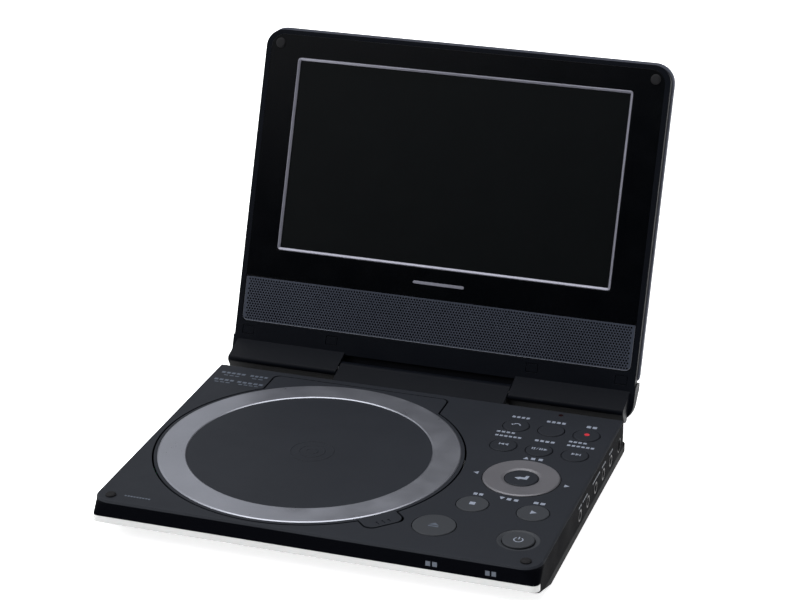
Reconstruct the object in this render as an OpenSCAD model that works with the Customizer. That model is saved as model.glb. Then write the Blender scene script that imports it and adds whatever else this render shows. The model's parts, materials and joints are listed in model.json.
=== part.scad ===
// Portable disc player: a flat base with a round disc door and a control panel,
// and a hinged lid with a wide screen above a speaker grille.
// Millimetres. X to the right, Y to the back, Z up.
// The origin is under the middle of the open player, on the surface that it rests on.

/* [Base] */
// Width of the base
body_w = 188; // [186:1:196]
// Height of the base without its feet
base_h = 16.5; // [16.5:0.5:20]
// Height of the dark front wall above the pale strip
front_wall_h = 7.2; // [6:0.1:8]
// Height of the pale strip along the front
strip_h = 2.9; // [2:0.1:3.4]
// Radius of the front corners seen from above
front_corner_r = 8; // [6:0.5:10]
// Height of the rubber feet
foot_h = 1.5; // [1:0.1:3]
// Thickness of the case walls
wall = 1.8; // [1.5:0.1:2]

/* [Disc door] */
// Radius of the round disc door
door_r = 65.4; // [64.5:0.1:65.8]
// Gap round the door
door_gap = 0.8; // [0.5:0.1:1]
// Outer radius of the silver ring on the door
ring_outer_r = 64; // [62:0.5:64.5]
// Inner radius of the silver ring
ring_inner_r = 51.8; // [45:0.2:56]

/* [Keys] */
// Radius of the six upper keys
key_r = 5.7; // [5:0.1:6]
// Distance between the upper keys, side to side
key_pitch = 15.6; // [15:0.1:16.4]
// Radius of the rocker ring
rocker_r = 16.1; // [15:0.1:16.5]
// Travel of a key
key_travel = 0.4; // [0.2:0.1:0.4]

/* [Lid] */
// Angle that the lid leans back from upright as it stands open
lean = 21; // [10:1:35]
// Length of the lid above the base
lid_h = 150.5; // [148:0.5:154]
// Thickness of the lid
lid_t = 8.6; // [8:0.1:9.5]
// How far the lid stands past the base at each side
lid_overhang = 1; // [0.8:0.1:1.2]
// Width of the picture
picture_w = 154.1; // [150:0.1:155]
// Height of the picture
picture_h = 86.6; // [84:0.1:88]

/* [Hinge] */
// Radius of the two hinge barrels of the lid under their noses
barrel_r = 5.6; // [5.4:0.1:6]
// Radius of the hollow in the base that the barrels turn in
cradle_r = 12.2; // [11.6:0.1:12.6]
// Half width of the hinge block between the barrels
block_half_w = 39.8; // [34:0.2:44]
// Radius of the steel hinge shafts
shaft_r = 2.5; // [2:0.1:3]
// Radial play of a shaft in its clip
shaft_play = 0.05; // [0.03:0.01:0.08]

/* [Hidden] */
$fn = 64;
HULL_FN = 32;

half_w = body_w / 2;
// Heights are measured from the flat top of the base, which is z = 0 until place().
hinge_y = 150.7;
hinge_z = -0.8;
// The face of the lid stands this far behind the hinge axis, and s = 0 this far above it.
face_behind_axis = 2.8;
s_above_axis = 1.9;
bottom_d = 145;
side_wall_h = 13;
slope_d = 20;

frame_t = 4.4;
lid_half_w = half_w + lid_overhang;
frame_half_w = lid_half_w - 0.8;
frame_top = lid_h - 1.3;
frame_bottom = 1.5;
middle_bottom = 5.1;
panel_half_w = half_w - 2.3;
panel_top = lid_h - 3.3;
grille_bottom = 14.9;
grille_top = 35.3;
panel_t = 1.0;
window_mid_s = 93;
window_half_w = picture_w / 2 + 1.15;
window_half_h = picture_h / 2 + 0.75;
lip_d = 2.5;
lip_below_axis = 2;
fill_top = 10.15;
barrel_end = lid_half_w - 0.3;
nose_end = lid_half_w - 2.6;
clip_r = 3.8;
strip_wrap = 3.2;
low_corner_r = 3;
jack_panel_y = 24;

// The open player is this deep, from the front edge to the back of the lid's top edge.
open_d = hinge_y + (lid_h + s_above_axis) * sin(lean) + (lid_t + face_behind_axis) * cos(lean);
origin_y = open_d / 2;

disc_x = -24.8;
disc_y = 68.7;
tab_half_w = 40.5;
tab_back_y = 134.8;
door_t = 1.6;
door_axis_y = 133.6;
door_axis_z = -1.2;
door_pin_r = 0.4;
pin_dx = 34;
arm_half_w = 1.5;
arm_r = 0.75;
knuckle_r = 1.15;
nub_angle = -45;
nub_half_w = 8.3;
nub_reach = 73;

well_floor_z = -6.4;
well_floor_t = 1.5;
well_r = 62.2;
deck_z = -9.2;
deck_t = 1;
disc_rest_z = -4.4;
sled_start_r = 23.5;
rod_z = -11;
rod_r = 1.2;
rod_half_gap = 15;
screw_y = disc_y - 21.5;
drive_play = 0.05;

key_x = 66.85;
key_rows = [119.2, 99.4];
rocker_y = 72.2;
enter_r = 7;
lower_y = 44.4;
lower_dx = 12.65;
lower_r = 6.6;
open_x = 45;
open_y = 22.4;
open_r = 8.8;
power_x = 80;
power_y = 21.2;
power_r = 6.5;
power_ring_r = 8.7;
key_gap = 0.3;
key_top = 0.3;
flange = 0.7;
flange_z = -2.6;
key_board_z = -4.9;
key_board_t = 1.4;
dome_top_z = -3.05;
open_travel = 1.2;

jack_z = -9;
jack_pitch = 13;
jack_first_y = 65;
jack_bore_r = 1.8;
jack_nose_r = 2.7;
jack_depth = 13;
dc_y = 132.2;
dc_z = -8.8;
dc_bore_r = 2.75;
dc_nose_r = 3.3;

boss_places = [[-86, 24], [88, 33], [-86, 131], [74, 132.5], [42.5, 38]];
deck_posts = [[-20, -25.3], [-20, 25.3], [68, -25.3], [68, 25.3]];
foot_places = [[-80, 30], [80, 30], [-80, 136], [80, 136]];
bumper_dx = 87.4;

// ---------- shared shapes ----------

// Moves base coordinates, whose front edge is y = 0 and whose top is z = 0, to the origin.
module place() {
  translate([0, -origin_y, base_h + foot_h]) children();
}

// Moves lid coordinates, X across, Y behind the face and Z up the face, to the open lid.
module place_lid() {
  place()
    translate([0, hinge_y, hinge_z])
      rotate([-lean, 0, 0])
        translate([0, face_behind_axis, s_above_axis])
          children();
}

// A rectangle from low to high with its own corner radii at the low and the high Y side.
module rounded(x0, x1, y0, y1, r_low, r_high) {
  union() {
    translate([x0 + r_low, y0]) square([x1 - x0 - 2 * r_low, y1 - y0 - r_high]);
    translate([x0, y0 + r_low]) square([x1 - x0, y1 - y0 - r_low - r_high]);
    translate([x0 + r_high, y0 + r_low]) square([x1 - x0 - 2 * r_high, y1 - y0 - r_low]);
    for (x = [x0 + r_low, x1 - r_low]) translate([x, y0 + r_low]) circle(r_low);
    for (x = [x0 + r_high, x1 - r_high]) translate([x, y1 - r_high]) circle(r_high);
  }
}

module flat_rect(x0, x1, y0, y1) {
  translate([x0, y0]) square([x1 - x0, y1 - y0]);
}

module slab(z0, z1) {
  translate([0, 0, z0]) linear_extrude(z1 - z0) children();
}

// A plate of the lid: outline in X and Z, from d0 to d1 behind the face.
module lid_slab(d0, d1) {
  translate([0, d1, 0]) rotate([90, 0, 0]) linear_extrude(d1 - d0) children();
}

module box(x0, x1, y0, y1, z0, z1) {
  translate([x0, y0, z0]) cube([x1 - x0, y1 - y0, z1 - z0]);
}

// A cylinder along X.
module bar(x0, x1, y, z, r) {
  translate([x0, y, z]) rotate([0, 90, 0]) cylinder(h = x1 - x0, r = r);
}

module disc(x, y, z0, z1, r) {
  translate([x, y, z0]) cylinder(h = z1 - z0, r = r);
}

module case_plan(inset, depth) {
  rounded(-half_w + inset, half_w - inset, inset, depth - inset,
          front_corner_r - inset, 2.5 - inset / 2);
}

// The same outline at the height of the pale strip, where the front corners are tighter.
module low_plan(depth) {
  rounded(-half_w, half_w, 0, depth, low_corner_r, 2.5);
}

// ---------- outlines ----------

// The door seen from above; grow is the gap that the cabinet leaves round it.
module door_plan(grow) {
  translate([disc_x, disc_y]) circle(door_r + grow, $fn = 160);
  rounded(disc_x - tab_half_w - grow, disc_x + tab_half_w + grow,
          disc_y + 45, tab_back_y + grow * 0.75, 1, 3);
  translate([disc_x, disc_y])
    rotate(nub_angle - 90)
      rotate(180)
        rounded(-nub_half_w - grow, nub_half_w + grow, -nub_reach - grow, -40, 4, 1);
}

// Every key's middle and radius, as the case's holes need them.
function key_places() = concat(
  [for (row = key_rows) for (i = [-1:1]) [key_x + i * key_pitch, row, key_r]],
  [[key_x, rocker_y, rocker_r]],
  [for (side = [-1, 1]) [key_x + side * lower_dx, lower_y, lower_r]],
  [[open_x, open_y, open_r], [power_x, power_y, power_r]]
);

// ---------- base ----------

module cradle_cut() {
  bar(-half_w - 5, half_w + 5, hinge_y, hinge_z, cradle_r);
}

// The top plate of the case, with its holes for the door and the keys and the posts that the
// case screws go into.
module top_cabinet() {
  color([0.20, 0.21, 0.24]) place() difference() {
    union() {
      hull() {
        slab(-0.01, 0) case_plan(0.7, 141);
        slab(-0.9, -0.7) case_plan(0, 141);
      }
      slab(-wall, -0.8) case_plan(0, 141);
      for (p = boss_places) disc(p[0], p[1], -side_wall_h, -wall + 0.1, 2.8);
    }
    slab(-wall - 1, 1) door_plan(door_gap);
    for (k = key_places()) disc(k[0], k[1], -wall - 1, 1, k[2] + key_gap);
    disc(power_x, power_y, -0.9, 1, power_ring_r);
    disc(key_x, 135.4, -wall - 1, 1, 1.1);
    for (p = boss_places) disc(p[0], p[1], -side_wall_h - 1, -wall - 2, 1.1);
    cradle_cut();
  }
}

// The front and side walls under the top plate, open at the back for the bottom case.
module wall_ring() {
  place() difference() {
    intersection() {
      union() {
        hull() {
          slab(-wall - 0.02, -wall) case_plan(0, 141);
          slab(-front_wall_h, -front_wall_h + 0.02) low_plan(141);
        }
        slab(-side_wall_h, -front_wall_h) low_plan(141);
      }
      under_profile(0);
    }
    slab(-side_wall_h - 1, 0) case_plan(wall, 141);
    box(-half_w - 1, half_w + 1, -1, strip_wrap, -side_wall_h - 1, -front_wall_h);
    cradle_cut();
    box(-half_w + wall, half_w - wall, 136.4, 150, -side_wall_h - 1, 0);
  }
}

// The front wall and the left wall, in one piece.
module cabinet_walls() {
  color([0.05, 0.05, 0.06]) difference() {
    wall_ring();
    place() box(0, half_w + 1, jack_panel_y, 150, -side_wall_h - 1, 0);
  }
}

// The right wall, with the holes of the sockets.
module jack_panel() {
  color([0.05, 0.05, 0.06]) difference() {
    intersection() {
      wall_ring();
      place() box(0, half_w + 1, jack_panel_y, 150, -side_wall_h - 1, 0);
    }
    place() {
      for (i = [0:4]) bar(half_w - 3, half_w + 1, jack_first_y + i * jack_pitch, jack_z, jack_nose_r + 0.1);
      bar(half_w - 3, half_w + 1, dc_y, dc_z, dc_nose_r + 0.1);
    }
  }
}

module front_strip() {
  color([0.93, 0.93, 0.92]) place() difference() {
    intersection() {
      slab(-front_wall_h - strip_h, -front_wall_h) low_plan(141);
      box(-half_w - 1, half_w + 1, -1, strip_wrap, -20, 0);
    }
    slab(-20, 0) case_plan(wall, 141);
  }
}

// The underside rises towards the front edge.
module under_profile(lift) {
  low = -base_h + lift;
  front_low = -front_wall_h - strip_h;
  rotate([90, 0, 90])
    translate([0, 0, -half_w - 1])
      linear_extrude(body_w + 2)
        polygon([[-1, front_low + (front_low + base_h) / slope_d + lift], [slope_d, low], [bottom_d + 1, low],
                 [bottom_d + 1, 1], [-1, 1]]);
}

module bottom_case() {
  color([0.16, 0.16, 0.18]) place() difference() {
    union() {
      difference() {
        intersection() {
          slab(-base_h, -front_wall_h - strip_h) low_plan(bottom_d);
          under_profile(0);
        }
        intersection() {
          slab(-base_h - 1, 0) case_plan(wall, bottom_d);
          under_profile(wall);
        }
        // the cabinet's side walls stand here
        for (side = [-1, 1])
          translate([side * half_w, 0, 0])
            box(-wall - 0.05, wall, front_corner_r - 0.2, bottom_d + 1, -side_wall_h, 0);
        // and here they turn the front corners
        difference() {
          box(-half_w - 1, half_w + 1, strip_wrap, front_corner_r, -side_wall_h, 0);
          slab(-side_wall_h - 1, 1) case_plan(wall, bottom_d);
        }
        box(-half_w - 1, half_w + 1, slope_d, bottom_d + 1, -side_wall_h, 0);
      }
      // cradles that the lid's barrels turn in
      difference() {
        intersection() {
          bar(-half_w + wall, half_w - wall, hinge_y, hinge_z, cradle_r + 1.6);
          box(-half_w, half_w, 136.5, bottom_d, -base_h + 0.5, -wall);
        }
        box(-block_half_w, block_half_w, 130, 160, -base_h + 1.5, 0);
      }
      // posts that carry the drive deck
      for (p = deck_posts) disc(disc_x + p[0], disc_y + p[1], -base_h + 0.5, deck_z - 1.5, 2);
    }
    cradle_cut();
    for (p = boss_places) {
      disc(p[0], p[1], -base_h - 1, -side_wall_h + 1, 1.3);
      disc(p[0], p[1], -base_h - 1, -base_h + 1.3, 2.7);
    }
    box(45.85, 80.15, 29.85, 110.15, -base_h - 1, -base_h + 1.2);
    box(48, 78, 32, 108, -base_h - 1, 0);
    // air slots under the drive
    for (i = [0:6]) box(-60 + i * 6, -57.5 + i * 6, 84, 106, -base_h - 1, -base_h + wall + 1);
  }
}

module disc_well() {
  color([0.13, 0.13, 0.15]) place() difference() {
    union() {
      difference() {
        disc(disc_x, disc_y, well_floor_z - well_floor_t, -wall, well_r + 1.5, $fn = 160);
        disc(disc_x, disc_y, well_floor_z, 0, well_r, $fn = 160);
      }
      // arms that carry the door's pins
      for (side = [-1, 1]) translate([disc_x + side * pin_dx, 0, 0]) {
        box(-arm_half_w, arm_half_w, disc_y + 52.6, door_axis_y + arm_r,
            well_floor_z - well_floor_t, -4.2);
        box(-arm_half_w, arm_half_w, door_axis_y - arm_r + 0.08, door_axis_y + arm_r - 0.08,
            -4.3, door_axis_z);
        bar(-arm_half_w, arm_half_w, door_axis_y, door_axis_z, arm_r);
      }
    }
    disc(disc_x, disc_y, well_floor_z - 5, 0, 15.2);
    // slot that the pickup travels in
    box(disc_x + 10, disc_x + well_r + 0.4, disc_y - 7.6, disc_y + 7.6, well_floor_z - 5, well_floor_z + 1);
    for (side = [-1, 1])
      bar(disc_x + side * pin_dx - 2, disc_x + side * pin_dx + 2, door_axis_y, door_axis_z, door_pin_r);
  }
}

// The fixed middle of the hinge: a ramp that rises from the flat top to a round crest.
module hinge_block() {
  crest_r = 4.3;
  start_y = hinge_y - cradle_r + 0.1;
  back_y = hinge_y - 0.5;
  // the ramp meets the crest a little inside its outline
  ramp_r = crest_r - 0.015;
  reach = norm([cradle_r, hinge_z]);
  rise = atan2(hinge_z, cradle_r) + asin(ramp_r / reach);
  run = sqrt(reach * reach - ramp_r * ramp_r);
  color([0.20, 0.21, 0.24]) place() difference() {
    union() {
      bar(-block_half_w, block_half_w, hinge_y, hinge_z, crest_r);
      rotate([90, 0, 90])
        translate([0, 0, -block_half_w])
          linear_extrude(2 * block_half_w)
            polygon([[start_y, 0], [start_y + run * cos(rise), run * sin(rise)],
                     [back_y, hinge_z + 2], [back_y, -side_wall_h], [start_y, -side_wall_h]]);
    }
    rotate([90, 0, 90])
      translate([0, 0, -block_half_w + 3.6])
        linear_extrude(2 * block_half_w - 7.2)
          polygon([[start_y - 1, -2.2], [start_y + 3, -1], [back_y - 1.8, 0.8],
                   [back_y - 1.8, -side_wall_h + 1.5], [start_y - 1, -side_wall_h + 1.5]]);
    for (side = [-1, 1])
      bar(min(side * 33, side * half_w), max(side * 33, side * half_w), hinge_y, hinge_z,
          shaft_r + 0.02);
  }
}

module battery_hatch() {
  color([0.16, 0.16, 0.18]) place() difference() {
    box(46, 80, 30, 110, -base_h, -base_h + 1.2);
    for (i = [0:3]) box(56, 70, 98 + 2.2 * i, 99 + 2.2 * i, -base_h - 1, -base_h + 0.5);
  }
}

module battery_pack() {
  color([0.25, 0.42, 0.62]) place() difference() {
    box(49.5, 75.5, 22, 126, -14.6, -6.4);
    for (y = [51, 88.5]) box(48, 77, y, y + 0.6, -7, -5);
  }
}

module main_board() {
  color([0.07, 0.33, 0.18]) place() union() {
    box(-90, -51, 30, 118, -13.4, -11.8);
    box(-84, -70, 44, 58, -11.8, -10.3);
    box(-82, -64, 70, 88, -11.8, -10.1);
    box(-80, -72, 98, 112, -11.8, -9.8);
    for (i = [0:3]) box(-60, -54, 40 + 18 * i, 46 + 18 * i, -11.8, -9.2);
  }
}

module jack_board() {
  color([0.07, 0.33, 0.18]) place() union() {
    box(78, 91.5, 58, 125, -13.6, -12.1);
    box(78, 91.5, 126, 137, -14.4, -13.1);
    box(78, 80.5, 125, 126, -13.6, -13.1);
  }
}

module key_board() {
  color([0.07, 0.33, 0.18]) place() difference() {
    box(47, 91, 14, 128, key_board_z, key_board_z + key_board_t);
    disc(open_x, open_y, -10, 0, open_r + 1);
    disc(boss_places[1][0], boss_places[1][1], -10, 0, 3.2);
  }
}

module key_domes() {
  color([0.75, 0.76, 0.78]) place() {
    for (k = key_places()) if (k[0] != open_x && k[1] != rocker_y)
      disc(k[0], k[1], key_board_z + key_board_t, dome_top_z, 2.5);
    disc(key_x, rocker_y, key_board_z + key_board_t, dome_top_z, 2.5);
    for (a = [0:90:270])
      disc(key_x + 11.5 * cos(a), rocker_y + 11.5 * sin(a), key_board_z + key_board_t, -3.3, 2);
  }
}

module power_ring() {
  color([0.45, 0.46, 0.49]) place()
    translate([power_x, power_y, -0.9])
      rotate_extrude()
        polygon([[power_r + key_gap, 0], [power_ring_r - 0.05, 0], [power_ring_r - 0.05, 0.8],
                 [power_ring_r - 0.5, 0.8], [power_r + key_gap, 0.35]]);
}

// A 3.5 mm socket: a moulded body with a round nose that fills its hole in the wall.
module jack(i) {
  y = jack_first_y + i * jack_pitch;
  color([0.12, 0.12, 0.13]) place() difference() {
    union() {
      box(half_w - jack_depth - 1, half_w - wall, y - 3.6, y + 3.6, jack_z - 3, jack_z + 3);
      bar(half_w - wall - 0.1, half_w - 0.15, y, jack_z, jack_nose_r);
    }
    bar(half_w - jack_depth, half_w + 1, y, jack_z, jack_bore_r);
  }
}

module dc_jack() {
  color([0.10, 0.10, 0.11]) place() union() {
    difference() {
      union() {
        box(half_w - 12, half_w - wall, dc_y - 4.3, dc_y + 4.3, -13, dc_z + 3.9);
        bar(half_w - wall - 0.1, half_w - 0.15, dc_y, dc_z, dc_nose_r);
      }
      bar(half_w - 11, half_w + 1, dc_y, dc_z, dc_bore_r);
    }
    bar(half_w - 11.5, half_w - 2.5, dc_y, dc_z, 1.0);
  }
}

module drive_deck() {
  color([0.68, 0.69, 0.71]) place() difference() {
    union() {
      box(disc_x - 24, disc_x + 72, disc_y - 27.5, disc_y + 27.5, deck_z, deck_z + deck_t);
      // brackets that hold the guide rods and the lead screw
      for (x = [disc_x + 12.2, disc_x + 69.6]) for (side = [-1, 1])
        box(x, x + 1.6, disc_y + side * rod_half_gap - 2, disc_y + side * rod_half_gap + 2,
            rod_z - 2, deck_z + 0.1);
      box(disc_x + 69.6, disc_x + 71.2, screw_y - 1.7, screw_y + 1.7, rod_z - 2, deck_z + 0.1);
    }
    disc(disc_x, disc_y, deck_z - 1, 0, 9);
    box(disc_x + 13.8, disc_x + 69.6, disc_y - 19, disc_y + 19, deck_z - 1, 0);
    box(disc_x - 8, disc_x + 11.5, screw_y - 3.2, screw_y + 3.2, deck_z - 1, 0);
    for (side = [-1, 1])
      bar(disc_x + 12, disc_x + 72, disc_y + side * rod_half_gap, rod_z, rod_r);
    bar(disc_x + 68, disc_x + 70.8, screw_y, rod_z, 0.8);
  }
}

module deck_dampers() {
  color([0.08, 0.08, 0.08]) place()
    for (p = deck_posts) disc(disc_x + p[0], disc_y + p[1], deck_z - 1.5, deck_z, 2.2);
}

// The motor under the turntable, and the small one that turns the lead screw.
module drive_motors() {
  color([0.72, 0.73, 0.75]) place() {
    difference() {
      union() {
        disc(disc_x, disc_y, -14.4, deck_z, 10.8);
        disc(disc_x, disc_y, deck_z, -6.6, 4.5);
      }
      disc(disc_x, disc_y, -13, 0, 1 + drive_play);
    }
    difference() {
      bar(disc_x - 7, disc_x + 10.4, screw_y, rod_z, 2.8);
      bar(disc_x + 1, disc_x + 12, screw_y, rod_z, 0.75 + drive_play);
    }
  }
}

module turntable() {
  color([0.18, 0.18, 0.20]) place() union() {
    disc(disc_x, disc_y, disc_rest_z - 1.5, disc_rest_z, 14);
    disc(disc_x, disc_y, disc_rest_z, disc_rest_z + 1.3, 7.3);
    translate([disc_x, disc_y, disc_rest_z + 1.3]) cylinder(h = 0.7, r1 = 7.3, r2 = 5.6);
    disc(disc_x, disc_y, -12.9, disc_rest_z, 1);
  }
}

module guide_rods() {
  color([0.85, 0.86, 0.88]) place()
    for (side = [-1, 1])
      bar(disc_x + 12.2, disc_x + 71.2, disc_y + side * rod_half_gap, rod_z, rod_r);
}

module pickup_sled() {
  color([0.30, 0.31, 0.33]) place() difference() {
    union() {
      box(disc_x + sled_start_r - 9.5, disc_x + sled_start_r + 9.5, disc_y - 18, disc_y + 18,
          -13, -8.6);
      disc(disc_x + sled_start_r, disc_y, -8.7, -5.9, 4.5);
      box(disc_x + sled_start_r - 2, disc_x + sled_start_r + 2, screw_y + 1.45, disc_y - 17.9,
          -12, -10);
    }
    for (side = [-1, 1])
      bar(disc_x, disc_x + 60, disc_y + side * rod_half_gap, rod_z, rod_r + drive_play);
    disc(disc_x + sled_start_r, disc_y, -7.5, -5, 2.2);
  }
}

module pickup_lens() {
  color([0.35, 0.45, 0.85]) place() union() {
    disc(disc_x + sled_start_r, disc_y, -7.5, -5.9, 2.2);
    translate([disc_x + sled_start_r, disc_y, -5.9]) cylinder(h = 0.5, r1 = 2.0, r2 = 1.0);
  }
}

module lead_screw() {
  color([0.80, 0.78, 0.70]) place() difference() {
    union() {
      bar(disc_x + 11, disc_x + 69.4, screw_y, rod_z, 1.3);
      bar(disc_x + 2, disc_x + 70.6, screw_y, rod_z, 0.75);
    }
    // the flat that shows how far the screw has turned
    box(disc_x + 60, disc_x + 64, screw_y - 2, screw_y + 2, rod_z + 1.0, rod_z + 2);
  }
}

module remote_window() {
  color([0.12, 0.04, 0.06]) place() disc(key_x, 135.4, -wall, -0.1, 1.05);
}

// The two steel brackets inside the hinge block, with the shafts that the lid turns on.
module hinge_brackets() {
  inner = block_half_w - 3.5;
  back_y = hinge_y - 2.4;
  color([0.62, 0.63, 0.65]) place()
    for (side = [-1, 1]) mirror([side < 0 ? 1 : 0, 0, 0]) {
      bar(inner - 3, block_half_w + 14.5, hinge_y, hinge_z, shaft_r);
      box(inner - 3, inner - 1.4, hinge_y - 9, back_y, -10.5, -2.4);
      box(inner - 3, inner - 1.4, hinge_y - 4, back_y, -10.5, hinge_z + 0.4);
      box(inner - 14, inner - 1.4, hinge_y - 9, back_y, -11.4, -10.2);
    }
}

module door_pins() {
  color([0.80, 0.81, 0.83]) place()
    for (side = [-1, 1])
      bar(disc_x + side * pin_dx - 4.2, disc_x + side * pin_dx + 4.2, door_axis_y, door_axis_z, door_pin_r);
}

module base_bumpers() {
  color([0.12, 0.12, 0.13]) place()
    for (side = [-1, 1])
      translate([side * bumper_dx, 5.7, 0])
        rotate_extrude()
          polygon([[0, 0], [2.3, 0], [2.2, 0.5], [1.6, 0.9], [0, 1]]);
}

module rubber_feet() {
  color([0.10, 0.10, 0.11]) place()
    for (p = foot_places)
      translate([p[0], p[1], -base_h - foot_h]) cylinder(h = foot_h, r1 = 4.6, r2 = 5.2);
}

module case_screws() {
  color([0.20, 0.20, 0.22]) place()
    for (p = boss_places) difference() {
      union() {
        disc(p[0], p[1], -base_h + 0.1, -base_h + 1.3, 2.4);
        disc(p[0], p[1], -base_h + 1.3, -5, 1.1);
      }
      box(p[0] - 1.5, p[0] + 1.5, p[1] - 0.3, p[1] + 0.3, -base_h - 1, -base_h + 0.6);
      box(p[0] - 0.3, p[0] + 0.3, p[1] - 1.5, p[1] + 1.5, -base_h - 1, -base_h + 0.6);
    }
}

// ---------- disc door ----------

module disc_door() {
  color([0.20, 0.21, 0.24]) place() difference() {
    union() {
      slab(-door_t, 0) door_plan(0);
      for (side = [-1, 1])
        bar(disc_x + side * pin_dx - 6, disc_x + side * pin_dx + 6, door_axis_y, door_axis_z, knuckle_r);
      // hook that the latch holds
      translate([disc_x, disc_y, 0])
        rotate(nub_angle)
          box(68, 69.2, -2.5, 2.5, -5.2, -door_t + 0.1);
      // stiffening ring underneath
      difference() {
        disc(disc_x, disc_y, -2.6, -door_t + 0.1, 61);
        disc(disc_x, disc_y, -3, 0, 59.6);
      }
    }
    for (side = [-1, 1]) {
      bar(disc_x + side * pin_dx - 5, disc_x + side * pin_dx + 5, door_axis_y, door_axis_z,
          door_pin_r + drive_play);
      box(disc_x + side * pin_dx - 1.8, disc_x + side * pin_dx + 1.8, 130.6, 140, -5, -0.35);
    }
    // ridges for the finger
    translate([disc_x, disc_y, 0])
      rotate(nub_angle)
        for (i = [-1:1]) box(69.2, 71.6, 2.6 * i - 0.35, 2.6 * i + 0.35, -0.35, 1);
    // the ring lies in a shallow groove
    difference() {
      disc(disc_x, disc_y, -0.5, 1, ring_outer_r + 0.05, $fn = 160);
      disc(disc_x, disc_y, -1, 2, ring_inner_r - 0.05, $fn = 160);
    }
  }
}

module door_ring() {
  color([0.66, 0.67, 0.69]) place()
    translate([disc_x, disc_y, -0.5])
      rotate_extrude($fn = 160)
        polygon([[ring_inner_r, 0], [ring_outer_r, 0], [ring_outer_r, 0.6],
                 [ring_outer_r - 0.5, 0.9], [ring_inner_r + 0.5, 0.9], [ring_inner_r, 0.6]]);
}

module door_latch() {
  color([0.75, 0.75, 0.76]) place()
    translate([disc_x, disc_y, 0])
      rotate(nub_angle)
        union() {
          box(74.6, 77, -4, 4, -6, -2.2);
          box(70, 74.7, -2.5, 2.5, -4.4, -3.4);
        }
}

// ---------- keys ----------

// A round key cap with the flange that keeps it under the cabinet.
module key_cap(x, y, r) {
  place() translate([x, y, 0]) union() {
    rotate_extrude()
      polygon([[0, flange_z], [r + flange, flange_z], [r + flange, -wall - 0.1],
               [r, -wall - 0.1], [r, key_top - 0.3], [r - 0.3, key_top], [0, key_top]]);
  }
}

module upper_key(column, row) {
  color([0.21, 0.22, 0.25]) key_cap(key_x + column * key_pitch, key_rows[row], key_r);
}

module lower_key(x, y, r) {
  color([0.26, 0.27, 0.30]) key_cap(x, y, r);
}

module rocker_ring() {
  color([0.46, 0.47, 0.49]) place() translate([key_x, rocker_y, 0])
    rotate_extrude($fn = 120)
      polygon([[enter_r + key_gap, -2.2], [rocker_r, -2.2], [rocker_r, 0.2],
               [rocker_r - 0.6, 0.6], [enter_r + key_gap + 1.2, 0.45],
               [enter_r + key_gap, 0.1]]);
}

module enter_key() {
  color([0.24, 0.25, 0.28]) place() translate([key_x, rocker_y, 0])
    rotate_extrude()
      polygon([[0, flange_z], [enter_r, flange_z], [enter_r, 0.1], [enter_r - 0.4, 0.4], [0, 0.4]]);
}

module open_key() {
  color([0.26, 0.27, 0.30]) place() translate([open_x, open_y, 0])
    rotate_extrude()
      polygon([[0, -3], [open_r + flange, -3], [open_r + flange, -wall - 0.1],
               [open_r, -wall - 0.1], [open_r, 0], [open_r - 0.3, 0.3], [0, 0.3]]);
}

// ---------- lid ----------

module frame_plan(inset, low) {
  rounded(-frame_half_w + inset, frame_half_w - inset, low, frame_top - inset, 4, 8 - inset);
}

// Between two circles: the four-sided piece whose long sides touch both, drawn a little
// inside their outlines.
module belt(p1, r1, p2, r2) {
  run = norm(p2 - p1);
  turn = atan2(p2[1] - p1[1], p2[0] - p1[0]);
  spread = acos((r1 - r2) / run);
  polygon([for (q = [[p1, r1, 1], [p2, r2, 1], [p2, r2, -1], [p1, r1, -1]])
    q[0] + (q[1] - 0.015) * [cos(turn + q[2] * spread), sin(turn + q[2] * spread)]]);
}

// One hinge barrel seen from its end, with the hinge axis at the origin: a round body, a nose
// that stands in front of it, and a root that runs up into the lid. A flat ramp leads from the
// nose up to the face of the lid.
module barrel_profile() {
  nose = [-5.4, -0.5];
  nose_r = 1.9;
  root_r = 3;
  root = [lid_t + face_behind_axis - root_r - 0.2, fill_top + s_above_axis - 2];
  crease = [face_behind_axis, 8.06];
  ramp_slope = 0.767;
  difference() {
    union() {
      circle(barrel_r);
      translate(nose) circle(nose_r);
      translate(root) circle(root_r);
      belt(nose, nose_r, [0, 0], barrel_r);
      belt(root, root_r, [0, 0], barrel_r);
      belt(nose, nose_r, root, root_r);
    }
    polygon([crease, [face_behind_axis, 20], [-20, 20],
             [-20, crease[1] - (20 + face_behind_axis) * ramp_slope]]);
    flat_rect(-12, 12, fill_top + s_above_axis, 21);
  }
}

// A barrel's nose ends a little short of the lid's sides; its root is rounded at the corner.
module barrel(side) {
  intersection() {
    mirror([side < 0 ? 1 : 0, 0, 0])
      translate([block_half_w + 0.5, -face_behind_axis, -s_above_axis])
        rotate([90, 0, 90])
          linear_extrude(barrel_end - block_half_w - 0.5)
            barrel_profile();
    union() {
      lid_slab(0, lid_t) rounded(-barrel_end, barrel_end, -s_above_axis - barrel_r - 0.1, 30, 8, 1);
      lid_slab(-12, 0.05) flat_rect(-nose_end, nose_end, -20, 20);
    }
  }
}

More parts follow.
